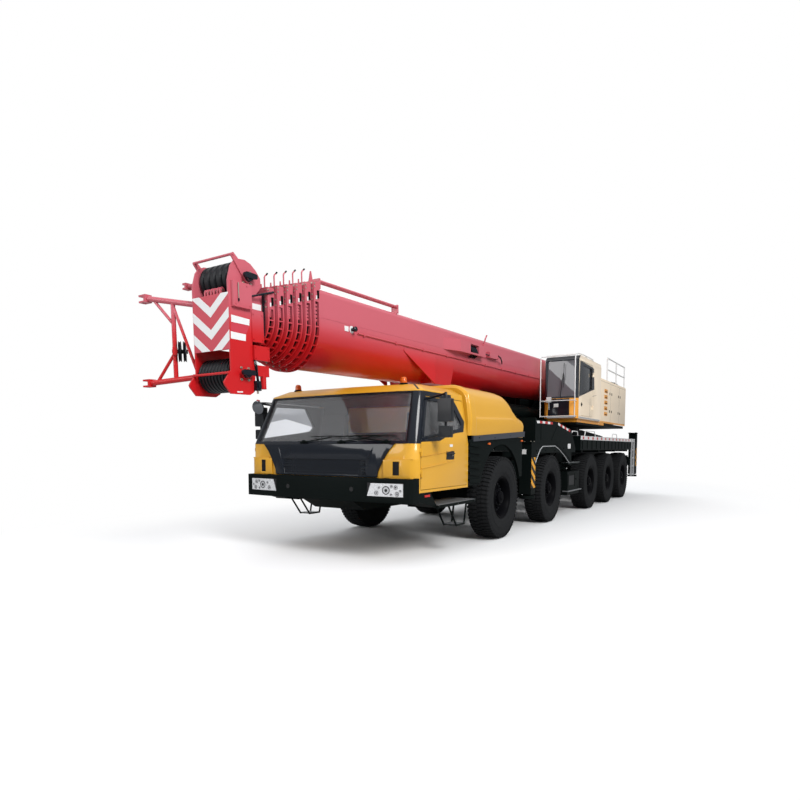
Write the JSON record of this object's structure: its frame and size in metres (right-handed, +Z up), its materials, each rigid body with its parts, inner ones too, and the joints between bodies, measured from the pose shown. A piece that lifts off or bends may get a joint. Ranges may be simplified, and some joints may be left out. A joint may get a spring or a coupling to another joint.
{
  "type": "five-axle mobile crane",
  "caption": "All-terrain mobile crane: wheeled carrier with driving cab, slewing upper with operator cab, telescopic boom with sheave head, sliding outriggers and steered front axles.",
  "frame": {"origin": "on the ground under the middle of the parked machine's overall box", "axes": "+X forward, +Y to the machine's left, +Z up"},
  "size_m": [16.5396, 3.49, 4.0579],
  "materials": {
    "black_frame": "satin black paint",
    "yellow_paint": "glossy yellow paint",
    "cream_paint": "pale yellow paint",
    "red_paint": "glossy red paint",
    "tyre_rubber": "tread rubber with a painted steel rim",
    "dark_glass": "tinted glass",
    "lamp_glass": "clear lamp glass",
    "grey_plastic": "moulded plastic",
    "steel_rope": "greased steel",
    "bright_steel": "ground steel rod",
    "white_rail": "white painted tube"
  },
  "bodies": {
    "chassis": {"chassis_frame": "black_frame", "axle_beams": "black_frame", "decks": "black_frame", "mudguards": "black_frame", "engine_hood": "yellow_paint", "engine_block": "black_frame", "cab_shell": "yellow_paint", "cab_glass": "dark_glass", "cab_interior": "grey_plastic", "front_grille": "black_frame", "front_bumper": "black_frame", "lamps": "lamp_glass", "side_boxes": "black_frame", "steps_and_rails": "black_frame"},
    "cab_door_left": {"cab_door_left": "yellow_paint"},
    "cab_door_right": {"cab_door_right": "yellow_paint"},
    "wheel_1_left": {"wheel_1_left": "tyre_rubber"},
    "knuckle_1_left": {"knuckle_1_left": "black_frame"},
    "wheel_1_right": {"wheel_1_right": "tyre_rubber"},
    "knuckle_1_right": {"knuckle_1_right": "black_frame"},
    "wheel_2_left": {"wheel_2_left": "tyre_rubber"},
    "knuckle_2_left": {"knuckle_2_left": "black_frame"},
    "wheel_2_right": {"wheel_2_right": "tyre_rubber"},
    "knuckle_2_right": {"knuckle_2_right": "black_frame"},
    "wheel_3_left": {"wheel_3_left": "tyre_rubber"},
    "wheel_3_right": {"wheel_3_right": "tyre_rubber"},
    "wheel_4_left": {"wheel_4_left": "tyre_rubber"},
    "wheel_4_right": {"wheel_4_right": "tyre_rubber"},
    "wheel_5_left": {"wheel_5_left": "tyre_rubber"},
    "wheel_5_right": {"wheel_5_right": "tyre_rubber"},
    "outrigger_beam_front_left": {"outrigger_beam_front_left": "black_frame"},
    "outrigger_jack_front_left": {"outrigger_jack_front_left": "black_frame"},
    "outrigger_beam_front_right": {"outrigger_beam_front_right": "black_frame"},
    "outrigger_jack_front_right": {"outrigger_jack_front_right": "black_frame"},
    "outrigger_beam_rear_left": {"outrigger_beam_rear_left": "black_frame"},
    "outrigger_jack_rear_left": {"outrigger_jack_rear_left": "black_frame"},
    "outrigger_beam_rear_right": {"outrigger_beam_rear_right": "black_frame"},
    "outrigger_jack_rear_right": {"outrigger_jack_rear_right": "black_frame"},
    "upper": {"turntable": "black_frame", "machinery_housings": "cream_paint", "operator_cab_shell": "cream_paint", "operator_cab_glass": "dark_glass", "upper_rails": "white_rail"},
    "operator_door": {"operator_door": "cream_paint"},
    "winch_drum": {"winch_drum": "steel_rope"},
    "boom_base": {"boom_base": "red_paint"},
    "luff_barrel": {"luff_barrel": "red_paint"},
    "luff_rod": {"luff_rod": "bright_steel"},
    "boom_section_2": {"boom_section_2": "red_paint"},
    "boom_section_3": {"boom_section_3": "red_paint"},
    "boom_section_4": {"boom_section_4": "red_paint"},
    "boom_section_5": {"boom_section_5": "red_paint"},
    "boom_section_6": {"boom_section_6": "red_paint"},
    "boom_section_7": {"boom_section_7": "red_paint", "boom_head": "red_paint", "jib_bracket": "red_paint"},
    "sheaves_top": {"sheaves_top": "steel_rope"},
    "sheaves_low": {"sheaves_low": "steel_rope"},
    "guide_sheaves": {"guide_sheaves": "steel_rope"}
  },
  "joints": [
    {"name": "cab_door_left_hinge", "type": "hinge", "parent": "chassis", "child": "cab_door_left", "pos_m": [6.14673, 1.465, 1.5], "axis": [0, 0, -1], "range_deg": [0, 75]},
    {"name": "cab_door_right_hinge", "type": "hinge", "parent": "chassis", "child": "cab_door_right", "pos_m": [6.14673, -1.465, 1.5], "axis": [0, 0, 1], "range_deg": [0, 75]},
    {"name": "steer_1_left", "type": "hinge", "parent": "chassis", "child": "knuckle_1_left", "pos_m": [3.47024, 0.985, 0.685], "axis": [0, 0, 1], "range_deg": [-32, 32]},
    {"name": "wheel_1_left_spin", "type": "hinge", "parent": "knuckle_1_left", "child": "wheel_1_left", "pos_m": [3.47024, 1.303, 0.685], "axis": [0, 1, 0], "continuous": true},
    {"name": "steer_1_right", "type": "hinge", "parent": "chassis", "child": "knuckle_1_right", "pos_m": [3.47024, -0.985, 0.685], "axis": [0, 0, 1], "range_deg": [-32, 32]},
    {"name": "wheel_1_right_spin", "type": "hinge", "parent": "knuckle_1_right", "child": "wheel_1_right", "pos_m": [3.47024, -1.303, 0.685], "axis": [0, 1, 0], "continuous": true},
    {"name": "steer_2_left", "type": "hinge", "parent": "chassis", "child": "knuckle_2_left", "pos_m": [0.92024, 0.985, 0.685], "axis": [0, 0, 1], "range_deg": [-24, 24]},
    {"name": "wheel_2_left_spin", "type": "hinge", "parent": "knuckle_2_left", "child": "wheel_2_left", "pos_m": [0.92024, 1.303, 0.685], "axis": [0, 1, 0], "continuous": true},
    {"name": "steer_2_right", "type": "hinge", "parent": "chassis", "child": "knuckle_2_right", "pos_m": [0.92024, -0.985, 0.685], "axis": [0, 0, 1], "range_deg": [-24, 24]},
    {"name": "wheel_2_right_spin", "type": "hinge", "parent": "knuckle_2_right", "child": "wheel_2_right", "pos_m": [0.92024, -1.303, 0.685], "axis": [0, 1, 0], "continuous": true},
    {"name": "wheel_3_left_spin", "type": "hinge", "parent": "chassis", "child": "wheel_3_left", "pos_m": [-2.22976, 1.303, 0.685], "axis": [0, 1, 0], "continuous": true},
    {"name": "wheel_3_right_spin", "type": "hinge", "parent": "chassis", "child": "wheel_3_right", "pos_m": [-2.22976, -1.303, 0.685], "axis": [0, 1, 0], "continuous": true},
    {"name": "wheel_4_left_spin", "type": "hinge", "parent": "chassis", "child": "wheel_4_left", "pos_m": [-4.12976, 1.303, 0.685], "axis": [0, 1, 0], "continuous": true},
    {"name": "wheel_4_right_spin", "type": "hinge", "parent": "chassis", "child": "wheel_4_right", "pos_m": [-4.12976, -1.303, 0.685], "axis": [0, 1, 0], "continuous": true},
    {"name": "wheel_5_left_spin", "type": "hinge", "parent": "chassis", "child": "wheel_5_left", "pos_m": [-6.02977, 1.303, 0.685], "axis": [0, 1, 0], "continuous": true},
    {"name": "wheel_5_right_spin", "type": "hinge", "parent": "chassis", "child": "wheel_5_right", "pos_m": [-6.02977, -1.303, 0.685], "axis": [0, 1, 0], "continuous": true},
    {"name": "outrigger_beam_front_left_slide", "type": "slide", "parent": "chassis", "child": "outrigger_beam_front_left", "axis": [0, 1, 0], "range_m": [0, 2]},
    {"name": "outrigger_jack_front_left_slide", "type": "slide", "parent": "outrigger_beam_front_left", "child": "outrigger_jack_front_left", "axis": [0, 0, -1], "range_m": [0, 0.56]},
    {"name": "outrigger_beam_front_right_slide", "type": "slide", "parent": "chassis", "child": "outrigger_beam_front_right", "axis": [0, -1, 0], "range_m": [0, 2]},
    {"name": "outrigger_jack_front_right_slide", "type": "slide", "parent": "outrigger_beam_front_right", "child": "outrigger_jack_front_right", "axis": [0, 0, -1], "range_m": [0, 0.56]},
    {"name": "outrigger_beam_rear_left_slide", "type": "slide", "parent": "chassis", "child": "outrigger_beam_rear_left", "axis": [0, 1, 0], "range_m": [0, 2]},
    {"name": "outrigger_jack_rear_left_slide", "type": "slide", "parent": "outrigger_beam_rear_left", "child": "outrigger_jack_rear_left", "axis": [0, 0, -1], "range_m": [0, 0.56]},
    {"name": "outrigger_beam_rear_right_slide", "type": "slide", "parent": "chassis", "child": "outrigger_beam_rear_right", "axis": [0, -1, 0], "range_m": [0, 2]},
    {"name": "outrigger_jack_rear_right_slide", "type": "slide", "parent": "outrigger_beam_rear_right", "child": "outrigger_jack_rear_right", "axis": [0, 0, -1], "range_m": [0, 0.56]},
    {"name": "slew", "type": "hinge", "parent": "chassis", "child": "upper", "pos_m": [-3.02976, 0, 1.9], "axis": [0, 0, 1], "continuous": true},
    {"name": "operator_door_hinge", "type": "hinge", "parent": "upper", "child": "operator_door", "pos_m": [-2.24627, 1.475, 2.8], "axis": [0, 0, 1], "range_deg": [0, 85]},
    {"name": "winch_spin", "type": "hinge", "parent": "upper", "child": "winch_drum", "pos_m": [-6.54976, 0, 2.79], "axis": [0, 1, 0], "continuous": true},
    {"name": "luff", "type": "hinge", "parent": "upper", "child": "boom_base", "pos_m": [-5.22977, 0, 3.15], "axis": [0, -1, 0], "range_deg": [0, 80]},
    {"name": "luff_barrel_hinge", "type": "hinge", "parent": "upper", "child": "luff_barrel", "pos_m": [-2.42977, 0, 2.38], "axis": [0, -1, 0], "range_deg": [0, 96.6]},
    {"name": "luff_rod_slide", "type": "slide", "parent": "luff_barrel", "child": "luff_rod", "axis": [0.9999, 0, -0.0114], "range_m": [0, 3.364]},
    {"name": "telescope_2", "type": "slide", "parent": "boom_base", "child": "boom_section_2", "axis": [0.9997, 0, -0.0262], "range_m": [0, 9.6]},
    {"name": "telescope_3", "type": "slide", "parent": "boom_section_2", "child": "boom_section_3", "axis": [0.9997, 0, -0.0262], "range_m": [0, 9.6]},
    {"name": "telescope_4", "type": "slide", "parent": "boom_section_3", "child": "boom_section_4", "axis": [0.9997, 0, -0.0262], "range_m": [0, 9.6]},
    {"name": "telescope_5", "type": "slide", "parent": "boom_section_4", "child": "boom_section_5", "axis": [0.9997, 0, -0.0262], "range_m": [0, 9.6]},
    {"name": "telescope_6", "type": "slide", "parent": "boom_section_5", "child": "boom_section_6", "axis": [0.9997, 0, -0.0262], "range_m": [0, 9.6]},
    {"name": "telescope_7", "type": "slide", "parent": "boom_section_6", "child": "boom_section_7", "axis": [0.9997, 0, -0.0262], "range_m": [0, 9.6]},
    {"name": "sheaves_top_spin", "type": "hinge", "parent": "boom_section_7", "child": "sheaves_top", "pos_m": [7.93999, 0, 3.35033], "axis": [0, 1, 0], "continuous": true},
    {"name": "sheaves_low_spin", "type": "hinge", "parent": "boom_section_7", "child": "sheaves_low", "pos_m": [7.98274, 0, 2.30885], "axis": [0, 1, 0], "continuous": true},
    {"name": "guide_sheaves_spin", "type": "hinge", "parent": "boom_section_7", "child": "guide_sheaves", "pos_m": [8.08454, -0.62368, 2.61629], "axis": [-0.7658, 0.6428, 0.0201], "continuous": true}
  ],
  "couplings": [
    {"joint": "steer_1_right", "follows": "steer_1_left", "ratio": 1},
    {"joint": "steer_2_left", "follows": "steer_1_left", "ratio": 0.75},
    {"joint": "steer_2_right", "follows": "steer_1_left", "ratio": 0.75},
    {"joint": "luff_barrel_hinge", "follows": "luff", "ratio": 1.2018},
    {"joint": "luff_rod_slide", "follows": "luff", "m_per_rad": 2.4018},
    {"joint": "telescope_3", "follows": "telescope_2", "ratio": 1},
    {"joint": "telescope_4", "follows": "telescope_2", "ratio": 1},
    {"joint": "telescope_5", "follows": "telescope_2", "ratio": 1},
    {"joint": "telescope_6", "follows": "telescope_2", "ratio": 1},
    {"joint": "telescope_7", "follows": "telescope_2", "ratio": 1}
  ]
}
